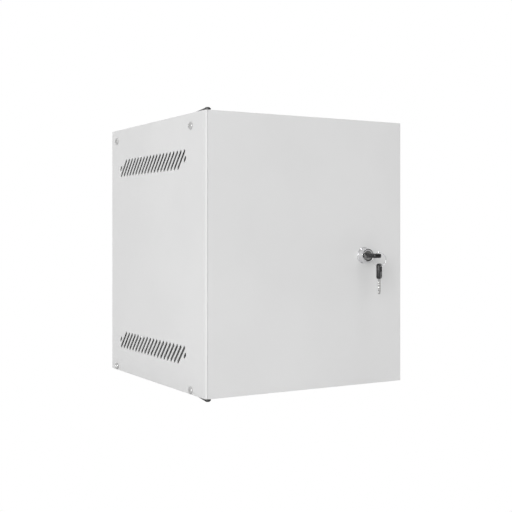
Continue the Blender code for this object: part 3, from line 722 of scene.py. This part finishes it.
def make_side_panel(node, side):
    low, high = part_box(node)
    edge = low.x if side < 0 else high.x
    points = [(edge, high.y), (edge, low.y), (edge - side * FLANGE, low.y)]
    if side > 0:
        points.reverse()
    panel = loose("panel_work", bent_sheet(points, low.z, high.z, BEND))
    sheet = panel.modifiers.new("Sheet", "SOLIDIFY")
    sheet.thickness = SHEET
    sheet.offset = -1
    sheet.use_even_offset = True
    apply_modifiers(panel)
    cut(panel, slot_cutter(node, side))
    soften(finish_work(panel, node, f"vented_{node}"), SOFT_EDGE, VENT_SOFTEN_ANGLE)


# Screws


def cross_recess(radius, top, depth):
    """The cutter for a cross recess: two tapered blades that cross."""
    bm = bmesh.new()
    for turn in (0, math.pi / 2):
        blade = bmesh.ops.create_cube(bm, size=1)["verts"]
        size = Matrix.Diagonal((radius * 1.15, radius * 0.24, depth * 2, 1))
        place = Matrix.Rotation(turn, 4, "Z") @ Matrix.Translation((0, 0, top)) @ size
        bmesh.ops.transform(bm, matrix=place, verts=blade)
        bottom = [vert for vert in blade if vert.co.z < top]
        bmesh.ops.scale(bm, vec=(0.45, 0.45, 1), verts=bottom)
    return bm


def screw_mesh(name, radius, height, shank, length):
    """A pan-head screw with a domed top, a small edge radius and a cross recess."""
    rise = height * 0.45
    dome_radius = (radius**2 + rise**2) / (2 * rise)
    profile = []
    for i in range(DOME_STEPS + 1):
        x = radius * 0.94 * i / DOME_STEPS
        profile.append((x, height - (dome_radius - math.sqrt(dome_radius**2 - x**2))))
    side = height * 0.5
    profile += [(radius * 0.985, side * 0.98), (radius, side * 0.78), (radius, height * 0.10)]
    profile += [(radius * 0.97, 0), (shank, 0), (shank, SCREW_TAPER - length)]
    profile += [(shank * 0.75, -length), (0, -length)]
    work = loose("screw_work", bm_to_mesh(turned(profile, 40), "screw_work"))
    cut(work, cross_recess(radius, height, height * 0.62), crossing=True)
    return taken_from(work, name)


def kind_of_screw(node):
    """The word before "screw" in the node's name, or nothing."""
    words = node.split("_")
    return words[words.index("screw") - 1] if "screw" in words else None


def direction_of_head(node, kind):
    """The way a screw's head looks, from its kind and its place."""
    centre = sum(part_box(node), Vector()) / 2
    if kind == "side":
        return Vector((math.copysign(1, centre.x), 0, 0))
    if kind == "hinge":
        return Vector((0, 0, math.copysign(1, centre.z)))
    if kind == "rail":
        return Vector((0, 0, -math.copysign(1, centre.z)))
    return Vector((0, -1, 0)) if kind == "rear" else Vector((0, 1, 0))


def make_screws():
    for kind, (radius, height, shank, length) in SCREWS.items():
        mesh = screw_mesh(f"{kind}_screw", radius, height, shank, length)
        nodes = sorted(node for node in NODES if kind_of_screw(node) == kind)
        for number, node in enumerate(nodes):
            direction = direction_of_head(node, kind)
            low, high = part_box(node)
            half_length = abs(((high - low) / 2).dot(direction))
            tip = (low + high) / 2 - direction * half_length
            seat = Matrix.Translation(tip + direction * length)
            spin = Matrix.Rotation(RECESS_START + RECESS_STEP * number, 4, "Z")
            add_piece(f"fine_{node}", mesh, node, seat @ facing(direction) @ spin)


# Lock


def housing_profile(face, rim, length):
    """The lock housing's radii and their distances behind its front. The door's face is at one of them."""
    profile = [(LOCK_BORE, 2 * LOCK_EDGE), (LOCK_BORE + LOCK_EDGE, LOCK_EDGE / 3)]
    profile.append((LOCK_HEAD - LOCK_EDGE, 0))
    profile += arc((LOCK_HEAD - LOCK_EDGE, LOCK_EDGE), LOCK_EDGE, -80, 0, 4)
    profile.append((LOCK_SKIRT, face - LOCK_SKIRT_HEIGHT))
    profile += arc((rim - LOCK_RIM_ROUND, face - LOCK_RIM_HEIGHT), LOCK_RIM_ROUND, -90, 0, 6)
    profile += [(rim, face - LOCK_RIM_FOOT), (rim - LOCK_RIM_FOOT / 2, face - GAP)]
    profile.append((LOCK_BARREL, face - GAP))
    start = face + THREAD_PITCH
    while start < length - 2 * THREAD_END:
        profile += [(LOCK_BARREL, start), (LOCK_BARREL - THREAD_DEPTH, start + THREAD_PITCH / 2)]
        start += THREAD_PITCH
    profile += [(LOCK_BARREL, length - THREAD_END), (LOCK_BARREL - THREAD_CHAMFER, length)]
    profile.append((LOCK_BORE, length))
    return profile


def plug_profile(shoulder, length):
    """The lock plug, with a thin tail behind its shoulder that carries the cam."""
    profile = [(0, 0), (PLUG - PLUG_CHAMFER - PLUG_ROUND, 0)]
    profile += arc((PLUG - PLUG_ROUND, PLUG_ROUND), PLUG_ROUND, -80, 0, 5)
    profile += [(PLUG, shoulder - PLUG_CHAMFER), (PLUG - PLUG_CHAMFER, shoulder), (PLUG_TAIL, shoulder)]
    profile += [(PLUG_TAIL, length - PLUG_CHAMFER), (PLUG_TAIL - PLUG_CHAMFER, length), (0, length)]
    return profile


def make_lock():
    low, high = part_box("lock_body")
    centre = (low + high) / 2
    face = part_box("door_panel")[0].y - low.y
    profile = housing_profile(face, (high.x - low.x) / 2, high.y - low.y)
    place = Matrix.Translation((centre.x, low.y, centre.z)) @ facing((0, 1, 0))
    housing = bm_to_mesh(turned(profile, 72, closed=True), "lock_housing")
    add_piece("lock_housing", housing, "lock_body", place)

    shoulder_y = high.y + GAP
    low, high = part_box("lock_plug")
    profile = plug_profile(shoulder_y - low.y, high.y - low.y)
    mesh = bm_to_mesh(turned(profile, 72), "plug_work")
    mesh.transform(Matrix.Translation((centre.x, low.y, centre.z)) @ facing((0, 1, 0)))
    plug = loose("plug_work", mesh)
    keyway = box_bm(
        (centre.x - KEYWAY_HALF_WIDTH, low.y - CUT_OVERRUN, centre.z - KEYWAY_HALF_HEIGHT),
        (centre.x + KEYWAY_HALF_WIDTH, low.y + KEYWAY_DEPTH, centre.z + KEYWAY_HALF_HEIGHT),
    )
    cut(plug, keyway)
    place = Matrix.Translation((centre.x, high.y, centre.z)) @ facing((0, 1, 0))
    cut(plug, cylinder_bm(place, CAM_SCREW_HOLE, depth=0.010, segments=32))
    finish_work(plug, "lock_plug", "lock_cylinder")


# Keys


def key_blade_bm():
    """A blade with cuts along one edge."""
    points = [(-BLADE_HALF, BLADE_BACK), (-BLADE_HALF, BLADE_TIP - BLADE_SHOULDER)]
    points += [(-BLADE_HALF * 0.45, BLADE_TIP), (BLADE_HALF * 0.35, BLADE_TIP)]
    y = BLADE_TIP - BLADE_SLOPE[1]
    points.append((BLADE_HALF - BLADE_SLOPE[0], y))
    for depth in BLADE_CUTS:
        x = BLADE_HALF - depth
        points += [(x, y - CUT_START), (x, y - CUT_END), (BLADE_HALF - CUT_RISE[0], y - CUT_RISE[1])]
        y -= CUT_PITCH
    points += [(BLADE_HALF, y), (BLADE_HALF, BLADE_BACK)]
    return prism(points[::-1], -BLADE_HALF_THICK, BLADE_HALF_THICK)


def bow_bm():
    """A moulded bow: rounded corners seen from the front and soft rims."""
    bm = box_bm((-BOW_HALF, -BOW_LENGTH, -BOW_HALF_THICK), (BOW_HALF, 0, BOW_HALF_THICK))
    round_edges(bm, corner_edges(bm, BOW_HALF_THICK), BOW_CORNER, 8)
    rims = []
    for edge in bm.edges:
        level = abs(edge.verts[0].co.z - edge.verts[1].co.z) < 1e-7
        if level and edge.calc_face_angle() > 0.5:
            rims.append(edge)
    round_edges(bm, rims, BOW_ROUND, 6)
    return bm


def key_bow_mesh():
    """The bow with its window, a shallow grip panel on each face and the blade's pocket."""
    bow = loose("bow_work", bm_to_mesh(bow_bm(), "bow_work"))
    inner = BOW_HALF - BOW_RIM
    far = BOW_RIM - BOW_LENGTH
    window = box_bm((-inner, far, -WINDOW_CUT_HALF), (inner, far + WINDOW, WINDOW_CUT_HALF))
    round_edges(window, corner_edges(window, WINDOW_CUT_HALF), WINDOW_CORNER, 4)
    cut(bow, window)
    pocket = box_bm(
        (-POCKET_HALF, POCKET_BACK, -POCKET_HALF_THICK),
        (POCKET_HALF, POCKET_FRONT, POCKET_HALF_THICK),
    )
    cut(bow, pocket)
    for face in (-BOW_HALF_THICK, BOW_HALF_THICK):
        back, front = GRIP_ENDS
        cut(bow, box_bm((-inner, back, face - GRIP_DEPTH), (inner, front, face + GRIP_DEPTH)))
    return taken_from(bow, "key_bow_mesh", math.radians(38))


def make_keys():
    """One key lies in the lock and the other hangs from the ring, blade down."""
    blade = bm_to_mesh(key_blade_bm(), "key_blade_mesh")
    bow = key_bow_mesh()
    low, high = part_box("key_bow")
    centre = (low + high) / 2
    in_lock = Matrix.Translation((centre.x, high.y, centre.z))
    low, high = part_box("spare_key_bow")
    middle = (low + high) / 2
    tip_down = Matrix.Rotation(math.pi / 2, 4, "Y") @ Matrix.Rotation(-math.pi / 2, 4, "Z")
    turn = Matrix.Rotation(SPARE_YAW, 4, "Z") @ tip_down
    hanging = Matrix.Translation((middle.x, middle.y, low.z)) @ turn
    for prefix, matrix in (("key", in_lock), ("spare_key", hanging)):
        for kind, mesh in (("blade", blade), ("bow", bow)):
            node = f"{prefix}_{kind}"
            add_piece(f"fine_{node}", mesh, node, matrix)


def make_ring():
    """A split ring: two turns of wire that lie against each other."""
    low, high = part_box("key_ring")
    radius = (high.z - low.z) / 2 - RING_SOLID_WIRE
    curve = bpy.data.curves.new("ring_wire", "CURVE")
    curve.dimensions = "3D"
    curve.bevel_depth = RING_WIRE
    curve.bevel_resolution = 4
    curve.use_fill_caps = True
    spline = curve.splines.new("POLY")
    spline.points.add(RING_STEPS)
    for i, point in enumerate(spline.points):
        share = i / RING_STEPS
        angle = 2 * math.pi * RING_TURNS * share + RING_START
        slide = max(-1, min(1, (share - 0.5) * 8)) * RING_WIRE * 0.66
        point.co = (radius * math.cos(angle), slide, radius * math.sin(angle), 1)
    work = loose("ring_work", curve)
    mesh = bpy.data.meshes.new_from_object(work.evaluated_get(bpy.context.evaluated_depsgraph_get()))
    bpy.data.objects.remove(work)
    mesh.shade_smooth()
    place = Matrix.Translation((low + high) / 2) @ Matrix.Rotation(RING_YAW, 4, "Z")
    add_piece("split_ring", mesh, "key_ring", place)


def refine_solids():
    for node in FOLDED_SHEETS:
        refine_node(node, SOFT_EDGE)
    for node in PUNCHED_RAILS:
        refine_node(node, SOFT_EDGE, merge_flats=False)
    for node in FLAT_PARTS:
        refine_node(node, FLAT_PART_EDGE)
    for node in SMALL_PARTS:
        refine_node(node, SMALL_PART_EDGE)


place_camera()
light_studio()
lay_floor()
FINISHES = make_finishes()
for node, cad in NODES.items():
    cad.data.materials.clear()
    cad.data.materials.append(FINISHES[SLOT_OF[node]])

make_door()
make_side_panel("left_side_panel", -1)
make_side_panel("right_side_panel", 1)
make_screws()
make_lock()
make_keys()
make_ring()
refine_solids()
